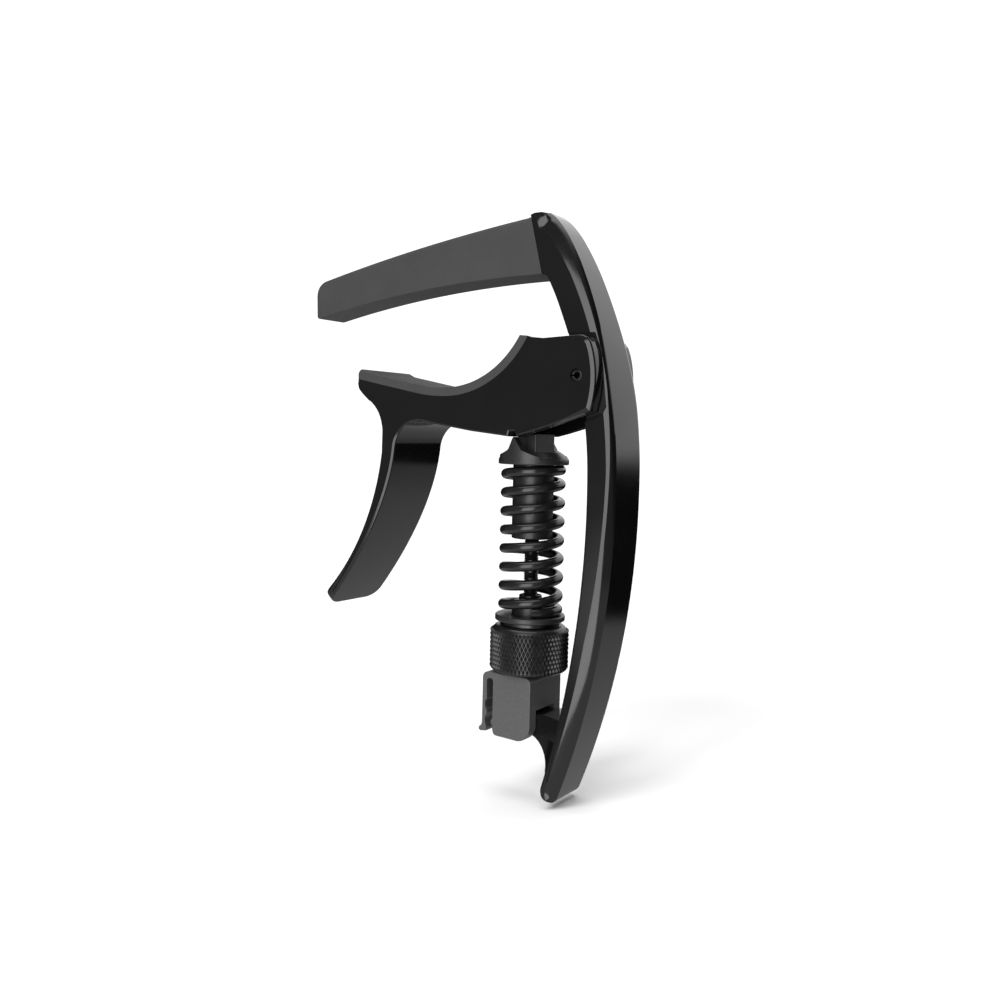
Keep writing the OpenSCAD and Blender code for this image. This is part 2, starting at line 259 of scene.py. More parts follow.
def half_width(z):
    """Half the spine's width: narrower towards the arm, and a little towards the tip."""
    if z > hub_top_z:
        return spine_half - (spine_half - neck_half) * (z - hub_top_z) / (brow_z - hub_top_z)
    return spine_half + 0.012 * min(0, z + 50)


def bevel_depth(z):
    """How far the outer bevel reaches down the side: least beside the hub."""
    if z > -2:
        return hub_bevel + 0.012 * (z + 2) + 0.0016 * (z + 2) ** 2
    return min(2.75, hub_bevel + 0.042 * max(0, waist_z - z))


def arc(centre, radius, start, end, steps=12):
    """Points of an arc in the side view, by its centre, radius and two angles in degrees."""
    turns = [math.radians(start + (end - start) * i / steps) for i in range(steps + 1)]
    return [(centre[0] + radius * math.cos(t), centre[1] + radius * math.sin(t)) for t in turns]


def eased(points, corner, size, steps):
    """The points with one corner rounded, starting and ending at a distance from it."""
    before, at, after = (Vector(points[corner + i]) for i in (-1, 0, 1))
    start = at + (before - at).normalized() * size
    end = at + (after - at).normalized() * size
    curve = []
    for i in range(steps + 1):
        t = i / steps
        curve.append(tuple(start * (1 - t) ** 2 + at * 2 * t * (1 - t) + end * t * t))
    return points[:corner] + curve + points[corner + 1:]


def solid(name, rings, loop=False):
    """A closed mesh through rings of points, with a flat cap on each end unless the rings join up."""
    mesh = bmesh.new()
    rows = [[mesh.verts.new(point) for point in ring] for ring in rings]
    count = len(rows[0])
    pairs = list(zip(rows, rows[1:] + rows[:1])) if loop else list(zip(rows, rows[1:]))
    for low, high in pairs:
        for i in range(count):
            j = (i + 1) % count
            mesh.faces.new((low[i], low[j], high[j], high[i]))
    if not loop:
        mesh.faces.new(rows[0][::-1])
        mesh.faces.new(rows[-1])
    bmesh.ops.remove_doubles(mesh, verts=mesh.verts, dist=0.0005)
    bmesh.ops.dissolve_degenerate(mesh, edges=mesh.edges, dist=0.0005)
    bmesh.ops.recalc_face_normals(mesh, faces=mesh.faces)
    piece = bpy.data.objects.new(name, bpy.data.meshes.new(name))
    mesh.to_mesh(piece.data)
    mesh.free()
    bpy.context.scene.collection.objects.link(piece)
    return piece


def inset(outline, sizes):
    """The outline moved inwards, corner by corner."""
    area = sum(a[0] * b[1] - b[0] * a[1] for a, b in zip(outline, outline[1:] + outline[:1]))
    side = 1 if area > 0 else -1
    moved = []
    for i, at in enumerate(outline):
        before, after = Vector(outline[i - 1]), Vector(outline[(i + 1) % len(outline)])
        a = (Vector(at) - before).normalized()
        b = (after - Vector(at)).normalized()
        normal = Vector((-(a.y + b.y), a.x + b.x)).normalized() * side
        reach = max(0.45, abs(normal.dot(Vector((-a.y, a.x)))))
        moved.append(tuple(Vector(at) + normal * sizes[i] / reach))
    return moved


def slab(name, outline, low, high, edge=0.0, steps=8, rim=None):
    """A side-view outline as a plate from y=low to y=high. edge rounds its rims: a size, or a function of
    the corner.
    rim gives another rim than a round one, as shares of that size: (inwards, from the face)."""
    outline = [p for i, p in enumerate(outline) if (Vector(p) - Vector(outline[i - 1])).length > 1e-3]
    edges = [edge(p) for p in outline] if callable(edge) else [edge] * len(outline)
    rings = []
    for end, inwards in ((low, 1), (high, -1)):
        turns = [math.pi / 2 * k / steps for k in range(steps + 1)] if max(edges) > 0 else [math.pi / 2]
        shares = rim or [(1 - math.sin(turn), 1 - math.cos(turn)) for turn in turns]
        for narrow, deep in shares[::inwards]:
            line = inset(outline, [e * narrow for e in edges])
            rings.append([(p[0], end + inwards * e * deep, p[1]) for p, e in zip(line, edges)])
    return solid(name, rings)


def bar(name, radius, low, high, centre=(0, 0), steps=96):
    """A round bar across the clamp."""
    return slab(name, arc(centre, radius, 0, 360 - 360 / steps, steps - 1), low, high)


def bake(piece):
    """Makes a piece's modifiers part of its mesh."""
    shape = piece.evaluated_get(bpy.context.evaluated_depsgraph_get())
    mesh = bpy.data.meshes.new_from_object(shape)
    piece.modifiers.clear()
    piece.data = mesh
    mesh.name = piece.name


def carve(piece, tool, operation="DIFFERENCE"):
    """Cuts one solid from another, or joins them, and throws the tool away."""
    cut = piece.modifiers.new("carve", "BOOLEAN")
    cut.object, cut.operation, cut.solver = tool, operation, "EXACT"
    bake(piece)
    bpy.data.objects.remove(tool)


def polish(piece, place, material, crease=14):
    """Smooth shading with crisp creases, its place in the frame, and its finish."""
    mesh = bmesh.new()
    mesh.from_mesh(piece.data)
    bmesh.ops.remove_doubles(mesh, verts=mesh.verts, dist=0.0005)
    bmesh.ops.dissolve_degenerate(mesh, edges=mesh.edges, dist=0.0005)
    mesh.transform(place)
    mesh.to_mesh(piece.data)
    mesh.free()
    piece.data.shade_smooth()
    piece.data.set_sharp_from_angle(angle=math.radians(crease))
    weigh = piece.modifiers.new("weigh", "WEIGHTED_NORMAL")
    weigh.keep_sharp = True
    bake(piece)
    piece.data.materials.clear()
    piece.data.materials.append(material)
    return piece


def finish(name, base, roughness, specular=0.5):
    """A new material with its constants on the shader's own sockets: (its plan, shader, coordinates)."""
    material = bpy.data.materials.new(name)
    material.use_nodes = True
    plan = Plan(material.node_tree)
    shader = material.node_tree.nodes["Principled BSDF"]
    shader.inputs["Base Color"].default_value = (base, base, base, 1)
    shader.inputs["Roughness"].default_value = roughness
    shader.inputs["Specular IOR Level"].default_value = specular
    return material, plan, shader, plan.add("ShaderNodeTexCoord").out("Object")


def feed(plan, shader, socket, wire):
    plan.tree.links.new(wire.socket, shader.inputs[socket])


def noise(plan, place, size, detail=3.0):
    """Cloudy noise from 0 to 1 whose spots are about size metres across."""
    return plan.add("ShaderNodeTexNoise", {}, {"Vector": place, "Scale": 1 / size, "Detail": detail})


def grain(plan, shader, height, strength, depth):
    """Raises the surface by a pattern, depth metres high."""
    bump = plan.add("ShaderNodeBump", {}, {"Strength": strength, "Distance": depth, "Height": height})
    feed(plan, shader, "Normal", bump)


def shade(plan, shader, level, dark, light):
    """Lets the base colour drift between two greys as level goes from 0 to 1."""
    ramp = plan.add("ShaderNodeValToRGB", {"stops": [(0.3, dark), (0.7, light)]}, {"Fac": level})
    feed(plan, shader, "Base Color", ramp)


def black_paint():
    """Gloss black powder coat: very slight orange peel and a little haze in the gloss."""
    material, plan, shader, place = finish("gloss_black_paint", 0.005, 0.12)
    haze = noise(plan, place, 0.012)
    shade(plan, shader, haze, 0.0045, 0.0055)
    feed(plan, shader, "Roughness", plan.step(haze, 0.3, 0.7, 0.1, 0.15))
    grain(plan, shader, noise(plan, place, 0.004, 0.0), 0.05, 0.00001)
    return material


paint = black_paint()


def ruled_section(inner, outer, half_in, half_out, depth, flat_half, wide, slant=0.31):
    """One section of the spine, as points round it. inner and outer are its ends in the side view."""
    run = (Vector(outer) - Vector(inner)).length
    depth = min(depth, 0.7 * run)
    half = [(0, 0), (0, half_in)]
    # the bevel has two faces: a slight one beside the flat side, then a steep one up to the outer face
    wide = min(0.8 * depth, wide)
    start, end = Vector((run - depth, half_out)), Vector((run, flat_half))
    middle = Vector((start.x + wide, half_out - slant * wide))
    for a, b, bulge, steps in ((start, middle, 0.02, 4), (middle, end, 0.06, 5)):
        across = Vector((a.y - b.y, b.x - a.x)).normalized() * (b - a).length * bulge
        half += [tuple(a.lerp(b, i / steps) + across * 4 * (i / steps) * (1 - i / steps))
                 for i in range(steps + (b == end))]
    half.append((run, 0))
    half = eased(half, 1, min(inner_edge, 0.2 * run), 8)
    along = (Vector(outer) - Vector(inner)) / max(run, 1e-6)
    ring = [(s, -y) for s, y in half] + [(s, y) for s, y in half[-2:0:-1]]
    return [(inner[0] + along.x * s, y, inner[1] + along.y * s) for s, y in ring]


def face_half(z):
    """Half the width of the spine's flat outer face."""
    return half_width(z) - 1.5 + 0.5 * max(0, (z - 16) / 15) ** 2


def first_bevel(z):
    """Width of the bevel's first, slight face: widest at the brow, narrowest at the tip."""
    if z > -2:
        return 1.12 + 0.36 * (bevel_depth(z) - hub_bevel)
    return (0.62 + 0.5 * max(0, (z - waist_z) / 16)) * min(1, max(0.2, (z + 82) / 9))


def spine():
    rings = []
    # the tip: its inner corner is round and its rim softened
    for turn in range(90, 0, -6):
        t = math.radians(turn)
        z = tip_z - 3 * math.sin(t)
        under = min(1, max(0, (-81.5 - z) / 0.9))
        softened = 0.8 * (1 - math.sqrt(1 - under * under))
        inner = (inner_x(z) + 3 * (1 - math.cos(t)), z)
        outer = (outer_x(z) - 0.4 * softened, z)
        rings.append(ruled_section(inner, outer, half_width(z) - softened, half_width(z) - softened,
                                   bevel_depth(z), face_half(z) - softened, first_bevel(z), 0.06))
    # up the bow to the underside of the arm
    count = 72
    for i in range(1, count + 1):
        z = tip_z + (arm_z - tip_z) * (i - 1) / (count - 1)
        thin = max(0, z - 12) / 7.4
        half_in = half_width(z) * (1 - thin) + (neck_half + 0.25) * thin
        rings.append(ruled_section((inner_x(z), z), (outer_x(z), z), half_in, half_width(z),
                                   bevel_depth(z), face_half(z), first_bevel(z),
                                   0.31 * min(1, max(0.2, (z + 81) / 7))))
    # fan up the seam while the outer face climbs to the brow
    climb = [(outer_x(z), z) for z in [arm_z + (brow_z - arm_z) * i / 10 for i in range(1, 11)]]
    corner = climb.index(climb[-1])
    brow = eased(climb + [(-8.8, 31.75), (-10.4, 32.1), (-11.4, 32.0), seam_top], corner, 0.7, 5)
    for i, outer in enumerate(brow):
        t = (i / (len(brow) - 1)) ** 0.8
        inner = Vector(seam_foot).lerp(Vector(seam_top), t)
        over = min(1, max(0, (i - corner) / 4))
        climbed = min(outer[1], brow_z)
        half_out = half_width(climbed) * (1 - over) + neck_half * over
        rings.append(ruled_section(tuple(inner), outer, neck_half + 0.03, half_out, bevel_depth(climbed),
                                   half_out - 1.5 - 0.3 * over, first_bevel(climbed)))
    return solid("frame_casting", rings)


foot = (-15.6, -67.6)


def gusset():
    """A web from the spine to the rounded foot, which flares into the spine's side."""
    top = arc(foot, 2.1, 180, 90, 6) + [(-12.5 + 8.3 * i / 10, -66.0) for i in range(11)]
    low = arc(foot, 2.1, 180, 272, 6) + arc((foot[0] - 0.2, -77.4), 7.8, 72, 8, 9) + [(-7.3, -78.3)]
    rings = []
    for above, below in list(zip(top, low))[1:]:
        flare = max(0, (above[0] + 12.5) / 8) ** 2
        half = 3.2 + 2.7 * flare
        size = (Vector(above) - Vector(below)).length
        ring = [(0, -half), (size, -half), (size, half), (0, half)]
        for corner in (3, 2, 1):
            ring = eased(ring + ring[:1], corner, min(0.45, size / 3), 6)[:-1]
        up = (Vector(above) - Vector(below)) / size
        rings.append([(below[0] + up.x * s, y, below[1] + up.y * s) for s, y in ring])
    return solid("gusset", rings)


def arm_top(x):
    return 32.75 - bow(500, x - 25)


def arm_under(x):
    """The sleeve's arched underside, from the string contact outwards."""
    return 19.4 + 0.07 * (x + 39.5) - bow(283, x + 39.5)


sleeve_wall, arm_end = 1.1, -69.6


def arm_core():
    xs = [-66.5 + (66.5 - 10.2) * i / 20 for i in range(21)]
    under = [(x, arm_under(x) + sleeve_wall) for x in xs]
    above = [(x, arm_top(x) - sleeve_wall) for x in xs[::-1] if x < -12.2]
    nose = [(arm_end + 1.2, arm_top(-68) - 3), (arm_end + 1.2, arm_under(-68) + 2.4)]
    return slab("arm_core", under + [(-8.6, 21), (-10.6, 30.8)] + above + nose, -3.2, 3.2, 0.3, 3)


hub_half, cheek_in = 5.1, 5.45
pocket = ([(-12, 8.4), (-12, -9.6)] + arc((0, 0), 8.6, 270, 303, 5)
          + [(5.3, -5.9), (4.95, -3.2), (4.42, 1.2), (3.8, 4.8), (2.5, 8.0)])

casting = spine()
for part in (arm_core(), gusset(), bar("hub", 4.8, -hub_half, hub_half)):
    carve(casting, part, "UNION")
for side in (-1, 1):
    low, high = sorted((side * hub_half, side * 9))
    carve(casting, slab("pocket", pocket, low, high))
carve(casting, bar("bush_bore", 2.1, -9, 9))
polish(casting, to_frame, paint, 11.6)
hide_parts("frame_casting")
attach(casting, "frame")


# Arm sleeve. Matt grey rubber, pulled over the arm and closed at its free end. Its arched underside presses
# the strings down on a curved fingerboard.
def rubber(name, base):
    """Moulded rubber: dull, with a fine tooth."""
    material, plan, shader, place = finish(name, base, 0.62, 0.35)
    tooth = noise(plan, place, 0.00022, 2.0)
    shade(plan, shader, noise(plan, place, 0.006), base * 0.93, base * 1.07)
    feed(plan, shader, "Roughness", plan.step(tooth, 0.2, 0.8, 0.55, 0.7))
    grain(plan, shader, tooth, 0.35, 0.00002)
    return material


sleeve_rubber = rubber("sleeve_rubber", 0.036)


def sleeve_ring(above, below, half, top_edge, low_edge):
    size = (Vector(above) - Vector(below)).length
    top_edge, low_edge = min(top_edge, 0.45 * size), min(low_edge, 0.2 * size)
    ring = [(0, -half), (size, -half), (size, half), (0, half)]
    for corner, edge in ((3, low_edge), (2, top_edge), (1, top_edge)):
        ring = eased(ring + ring[:1], corner, edge, 9)[:-1]
    first = eased([ring[-1]] + ring[:2], 1, low_edge, 9)[1:-1]
    ring = first + ring[1:]
    up = (Vector(above) - Vector(below)) / size
    return [(below[0] + up.x * s, y, below[1] + up.y * s) for s, y in ring]


def sleeve():
    rings = []
    stations = [(seam_top, seam_foot), ((-13.2, arm_top(-13.2)), (-11.2, arm_under(-11.2)))]
    stations += [((x, arm_top(x)), (x + 1.2 * (1 - t), arm_under(x + 1.2 * (1 - t))))
                 for t, x in [(i / 30, -14.5 - (67.0 - 14.5) * i / 30) for i in range(31)]]
    for above, below in stations:
        rings.append(sleeve_ring(above, below, neck_half, 1.5, 0.3))
    # the free end: rounded above, below and in plan
    reach = 2.6
    for i in range(1, 13):
        turn = math.pi / 2 * i / 12
        x = arm_end + reach - reach * math.sin(turn)
        fall = 1 - math.cos(turn)
        above = (x, arm_top(x) - 2.3 * fall)
        below = (x, arm_under(x) + 0.9 * max(0, fall - 0.3) / 0.7)
        rings.append(sleeve_ring(above, below, neck_half - 0.7 * fall ** 1.5, 1.5, 0.3))
    return solid("arm_sleeve", rings)


def sleeve_cavity():
    xs = [-66.5 + (66.5 - 2) * i / 20 for i in range(21)]
    under = [(x, arm_under(x) + sleeve_wall - 0.03) for x in xs]
    above = [(x, arm_top(x) - sleeve_wall + 0.03) for x in xs[::-1]]
    nose = [(arm_end + 1.17, arm_top(-68) - 2.97), (arm_end + 1.17, arm_under(-68) + 2.37)]
    return slab("cavity", under + above + nose, -3.23, 3.23, 0.25, 3)


cover = sleeve()
carve(cover, sleeve_cavity())
polish(cover, to_frame, sleeve_rubber)
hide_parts("arm_sleeve")
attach(cover, "frame")


# Lever. A second gloss black die casting: two cheeks that straddle the hub, a curved saddle for the pad,
# and the bowed finger plate. The channel between its cheeks takes the frame and the strut's yoke.
lever_half = 8.15
trough = (-29.6, -2.9)
saddle_tip = (-53.4, 1.45)
saddle_r = 22.3
saddle_centre = (trough[0], trough[1] + saddle_r)


def saddle(lift):
    """The line that the pad lies on, from the hub down to the trough and out to the free end."""
    hub_side = arc(saddle_centre, saddle_r - lift, 329, 270, 28)
    return hub_side + arc((trough[0], trough[1] + 38), 38 - lift, 268, 258, 8)


def bowed(start, lean, end, end_lean, pull, steps):
    """A curve down the side view between two points, by how far it leans outwards at each."""
    a, d = Vector(start), Vector(end)
    b = a - Vector((math.sin(math.radians(lean)), math.cos(math.radians(lean)))) * pull
    c = d + Vector((math.sin(math.radians(end_lean)), math.cos(math.radians(end_lean)))) * pull
    points = []
    for i in range(steps + 1):
        t = i / steps
        first, second = 3 * t * (1 - t) ** 2, 3 * t * t * (1 - t)
        points.append(tuple(a * (1 - t) ** 3 + b * first + c * second + d * t ** 3))
    return points


plate_back = (-63.8, -45.2)
hub_rim = arc((-15.6, -0.25), 19.6, -19.4, 15, 20)
lever_outline = (
    [(-9.7, 7.6), (-7.1, 7.3), (0.3, 7.4), (1.3, 7.45), (2.2, 7.0), (2.9, 6.1)] + hub_rim[::-1]
    + [(-2.1, -8.1), (-6.2, -9.4), (-10.5, -10.5)]
    + [(-13.2, -11.1), (-13.6, -10.15), (-14.8, -10.15), (-15.1, -11.15)]
    + [(-24, -10), (-33, -8.45), (-36, -7.8)] + arc((-37.4, -13.9), 6.2, 88, 172, 20)
    + bowed((-43.58, -13.3), 8.5, (-63.1, -47.86), 42, 12.5, 90)
    + eased([(-63.1, -47.86), (-64.75, -46.09), plate_back], 1, 1.28, 12)[1:]
    + arc((-100.7, -5.65), 54.1, -46.8, -9.1, 54) + arc((-54.6, -9.6), 7.6, -8, 58, 12)
    + [(-52.4, -1.6), (-53.3, -0.6), (-53.55, 0.4), saddle_tip] + saddle(0)[::-1])
channel = (
    [(20, 20), (20, -30), (-15.1, -30), (-15.1, -11.1), (-24, -9.95), (-36, -7.7), (-37.5, -6.2),
     (-36.5, -4.6), (-30, -5.3)] + arc(saddle_centre, 24.7, 276, 300, 12)
    + [(-14.2, -1.6), (-9.6, 3.2), (-8.6, 7), (-8.6, 20)])


def lever_edge(point):
    """How much each rim of the lever is rounded: most round the hub and down the finger plate."""
    x, z = point
    if x > 0.9 and -7.5 < z < 7.5:
        return 0.9
    if z < -12:
        return 0.6
    if x < -36 and z < -7.7:
        return 0.3 + 0.3 * min(1, (-7.7 - z) / 4.3)
    return 0.06 if z > -3.5 and x < -9 else 0.3


def round_plate_end(piece, radius=3.0):
    """Draws the plate's sides in towards its free end, so that its corners are round."""
    down, past_back, plate_z = Vector((-0.731, -0.682)), 1.3, -40
    for vertex in piece.data.vertices:
        left = past_back - (Vector((vertex.co.x, vertex.co.z)) - Vector(plate_back)).dot(down)
        if left < radius and vertex.co.z < plate_z:
            reach = max(0.0, radius - max(0.0, left))
            allowed = lever_half - radius + math.sqrt(radius * radius - reach * reach)
            vertex.co.y *= allowed / lever_half


lever_rim = [(1, 0), (0.75, 0.1), (0.5, 0.2), (0.25, 0.31), (0.12, 0.43), (0.04, 0.63), (0, 1)]
lever = slab("lever_casting", lever_outline, -lever_half, lever_half, lever_edge, rim=lever_rim)
round_plate_end(lever)
carve(lever, slab("channel", channel, -cheek_in, cheek_in))
carve(lever, bar("pin_bore", 1.2, -9, 9, steps=48))
polish(lever, to_frame, paint)
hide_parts("lever_casting")
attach(lever, "lever")


# Lever pad. Grey rubber strip bonded in the saddle, with fine moulded ribs across the middle of its upper
# face that grip the back of the neck.
class Recipe(Plan):
    """A geometry node tree with named sizes, which grow() turns into a plain mesh piece."""

    def __init__(self, name, sizes):
        super().__init__(bpy.data.node_groups.new(name, "GeometryNodeTree"))
        self.name, self.sizes = name, sizes
        for label, value in sizes.items():
            kind = "NodeSocketInt" if isinstance(value, int) else "NodeSocketFloat"
            self.tree.interface.new_socket(label, in_out="INPUT", socket_type=kind)
        self.tree.interface.new_socket("Shape", in_out="OUTPUT", socket_type="NodeSocketGeometry")
        self.entry = self.tree.nodes.new("NodeGroupInput")

    def size(self, label):
        return Wire(self, self.entry.outputs[label])

    def grow(self, shape, material):
        real = self.add("GeometryNodeRealizeInstances", {}, {"Geometry": shape})
        painted = self.add("GeometryNodeSetMaterial", {}, {"Geometry": real, "Material": material})
        self.add("NodeGroupOutput", {}, {"Shape": painted})
        piece = bpy.data.objects.new(self.name, bpy.data.meshes.new(self.name))
        bpy.context.scene.collection.objects.link(piece)
        grower = piece.modifiers.new("grower", "NODES")
        grower.node_group = self.tree
        for item in self.tree.interface.items_tree:
            if item.in_out == "INPUT":
                grower[item.identifier] = self.sizes[item.name]
        bake(piece)
        return piece


def pad_ribs():
    """Fine ribs, half sunk in the pad's face at even steps along its arc. They reach across the middle of
    its width only."""
    rib_share = 0.55
    rib_length = rib_share * (2 * lever_half - 1.6)
    sizes = {"Ribs": 28, "Rib width": 0.34, "Rib length": rib_length, "Radius": saddle_r - pad_t,
             "First angle": math.radians(270.6), "Last angle": math.radians(326)}
    recipe = Recipe("pad_ribs", sizes)
    count = recipe.size("Ribs")
    points = recipe.add("GeometryNodePoints", {}, {"Count": count})
    share = recipe.add("GeometryNodeInputIndex") / (count - 1)
    angle = recipe.size("First angle") + share * (recipe.size("Last angle") - recipe.size("First angle"))
    radius = recipe.size("Radius")
    cosine, sine = angle.sum("COSINE", angle), angle.sum("SINE", angle)
    spot = recipe.add("ShaderNodeCombineXYZ", {}, {
        "X": cosine * radius + saddle_centre[0], "Z": sine * radius + saddle_centre[1]})
    placed = recipe.add("GeometryNodeSetPosition", {}, {"Geometry": points, "Position": spot})
    rib = recipe.add("GeometryNodeMeshCylinder", {}, {
        "Vertices": 8, "Radius": recipe.size("Rib width") / 2, "Depth": recipe.size("Rib length")})
    laid = recipe.add("GeometryNodeTransform", {}, {
        "Geometry": rib.out("Mesh"), "Rotation": (math.pi / 2, 0, 0)})
    ribs = recipe.add("GeometryNodeInstanceOnPoints", {}, {"Points": placed, "Instance": laid})
    return recipe.grow(ribs, sleeve_rubber)


pad_t = 1.75
pad_outline = (saddle(0) + [saddle_tip, (-53.5, 2.65), (-53.1, 3.25), (-52.5, 3.5), (-50.9, 2.7)]
               + saddle(pad_t)[:0:-1])


def pad_edge(point):
    """Sharp where the pad is bonded to the saddle, softened along its face."""
    low_side = any((Vector(point) - Vector(p)).length < 0.05 for p in saddle(0) + [saddle_tip])
    return 0.02 if low_side else 0.22


pad = slab("lever_pad", pad_outline, -lever_half, lever_half, pad_edge, 4)
polish(pad, to_frame, sleeve_rubber)
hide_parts("lever_pad")
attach(pad, "lever")
ribs = pad_ribs()
polish(ribs, to_frame, sleeve_rubber, 30)
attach(ribs, "lever")


# Pivot pin. A rolled spring pin in black steel, hollow and slit along its length, driven through both
# cheeks; it turns in the hub's bush, and two slippery washers keep the cheeks off the hub.
def black_steel():
    """Phosphated spring steel under oil: dark and half dull, with a faint grain."""
    material, plan, shader, place = finish("black_steel", 0.008, 0.24)
    drift = noise(plan, place, 0.003)
    shade(plan, shader, drift, 0.006, 0.009)
    feed(plan, shader, "Roughness", plan.step(drift, 0.25, 0.75, 0.2, 0.27))
    grain(plan, shader, noise(plan, place, 0.0002, 0.0), 0.02, 0.000004)
    return material


def turned(name, profile, steps=96):
    """A closed profile of (radius, height) points, turned round the z axis."""
    rings = []
    for i in range(steps):
        turn = 2 * math.pi * i / steps
        rings.append([(r * math.cos(turn), r * math.sin(turn), h) for r, h in profile])
    return solid(name, rings, loop=True)


def rounded(profile, sizes, steps=4):
    """The profile with each numbered corner rounded by its size."""
    for corner in sorted(sizes, reverse=True):
        profile = eased(profile + profile[:1], corner, sizes[corner], steps)[:-1] if corner else profile
    return profile


pin_half = 7.9
across = to_frame @ Matrix.Rotation(math.pi / 2, 4, "X")
steel_black = black_steel()
pin_profile = rounded([(0.6, -pin_half), (1.2, -pin_half), (1.2, pin_half), (0.6, pin_half)],
                      {1: 0.28, 2: 0.28, 3: 0.15})
pin = turned("pivot_pin", pin_profile, steps=64)
slit_blade = slab("slit", [(-2, -9), (-0.4, -9), (-0.4, 9), (-2, 9)], -0.15, 0.15)
carve(pin, slit_blade)
polish(pin, across, steel_black, 30)
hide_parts("pivot_pin")
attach(pin, "lever")


def worn_metal(name, colour, roughness):
    """Bare metal with a fine tooth and a drifting shine."""
    material, plan, shader, place = finish(name, 0.5, roughness)
    shader.inputs["Base Color"].default_value = (*colour, 1)
    shader.inputs["Metallic"].default_value = 1.0
    drift = noise(plan, place, 0.002)
    feed(plan, shader, "Roughness", plan.step(drift, 0.2, 0.8, roughness - 0.08, roughness + 0.08))
    grain(plan, shader, noise(plan, place, 0.0001, 2.0), 0.1, 0.000005)
    return material


bush = turned("pivot_bush", rounded([(1.24, -hub_half), (2.1, -hub_half), (2.1, hub_half), (1.24, hub_half)],
                                    {1: 0.2, 2: 0.2}), steps=64)
polish(bush, across, worn_metal("oiled_bronze", (0.42, 0.26, 0.1), 0.4), 30)
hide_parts("pivot_bush")
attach(bush, "frame")


def nylon(name, base, roughness, tooth_size, tooth_depth):
    """Glass-filled nylon, moulded with a spark-eroded grain."""
    material, plan, shader, place = finish(name, base, roughness, 0.5)
    tooth = noise(plan, place, tooth_size, 2.0)
    shade(plan, shader, tooth, base * 0.8, base * 1.25)
    feed(plan, shader, "Roughness", plan.step(tooth, 0.3, 0.7, roughness - 0.05, roughness + 0.08))
    grain(plan, shader, tooth, 0.5, tooth_depth)
    return material


black_nylon = nylon("black_nylon", 0.013, 0.36, 0.00025, 0.00003)
washers = []
for side in (-1, 1):
    middle = side * (hub_half + 0.17)
    ring = [(1.35, middle - 0.13), (4, middle - 0.13), (4, middle + 0.13), (1.35, middle + 0.13)]
    washers.append(turned("hub_washers", rounded(ring, {1: 0.05, 2: 0.05}), steps=72))
carve(washers[0], washers[1], "UNION")
polish(washers[0], across, black_nylon, 30)
washers[0].name = "hub_washers"
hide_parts("hub_washers")
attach(washers[0], "lever")


# Spring yoke. Black glass-filled nylon cap on the spring: two knife-edged walls rock in the lever's notches,
# a block centres it between the cheeks, and a tube runs down inside the coil over the rod's head.
strut_foot = Vector(joints["strut_lean"]["pos_m"])
strut_up = -Vector(joints["yoke_slide"]["axis"]).normalized()
lean = Matrix.Rotation(math.atan2(strut_up.x, strut_up.z), 4, "Y")
on_strut = Matrix.Translation(strut_foot) @ lean @ Matrix.Scale(0.001, 4)
rim_r, yoke_under, tube_end = 7.05, 51, 36.2
wall_top = [(-7.15, 1.0), (-4.7, 1.85), (-3.1, 2.35), (-2.0, 2.8), (-1.65, 3.15), (-0.66, 5.15), (-0.5, 5.4),
            (-0.38, 5.4), (-0.2, 5.15), (1.35, 2.8), (3.5, 1.9), (5.65, 1.25), (7.15, 0.9)]
wall_top = [(u, yoke_under + rise) for u, rise in wall_top]


def yoke():
    body = turned("spring_yoke", rounded(
        [(2.2, yoke_under), (rim_r, yoke_under), (rim_r, yoke_under + 1.15), (5.2, yoke_under + 2.5),
         (2.2, yoke_under + 2.5)], {1: 0.3, 2: 0.3}))
    for side in (-1, 1):
        low, high = sorted((side * 5.25, side * 8))
        wall = slab("wall", wall_top + [(rim_r + 0.1, yoke_under + 0.4), (-rim_r - 0.1, yoke_under + 0.4)],
                    low, high, 0.12, 2)
        carve(wall, turned("rim_cut", [(0, 40), (rim_r - 0.003, 40), (rim_r - 0.003, 60), (0, 60)]),
              "INTERSECT")
        carve(body, wall, "UNION")
    block = [(0.6, yoke_under + 1), (2.6, yoke_under + 1), (2.6, yoke_under + 6.0), (0.6, yoke_under + 6.0)]
    carve(body, slab("block", block, -3.6, 3.6, 0.25, 2), "UNION")
    web = [(-3, yoke_under + 1), (1, yoke_under + 1), (1, yoke_under + 5.75), (-3, yoke_under + 5.75)]
    carve(body, slab("web", web, -1.6, 1.6, 0.25, 2), "UNION")
    tube = rounded([(2.2, tube_end), (4.1, tube_end), (4.1, yoke_under + 0.5), (2.2, yoke_under + 0.5)],
                   {1: 0.3})
    carve(body, turned("tube", tube), "UNION")
    carve(body, turned("bore", [(0, 30), (2.2, 30), (2.2, yoke_under + 1.6), (0, yoke_under + 1.6)]))
    return body


cap = yoke()
polish(cap, on_strut, black_nylon, 28)
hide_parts("spring_yoke")
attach(cap, "yoke")


# Compression spring. Black spring steel wire, two millimetres thick, wound right-handed in eight and a
# quarter turns that close at both ends. Its lower half follows the seat and its upper half the yoke.
spring_low, spring_high, turns, wire_r, coil_r = 21.92, 49.98, 8.25, 1.0, 5.5
first_angle, flat_share, closed_share = math.radians(-56), 0.25 / 8.25, 0.5 / 8


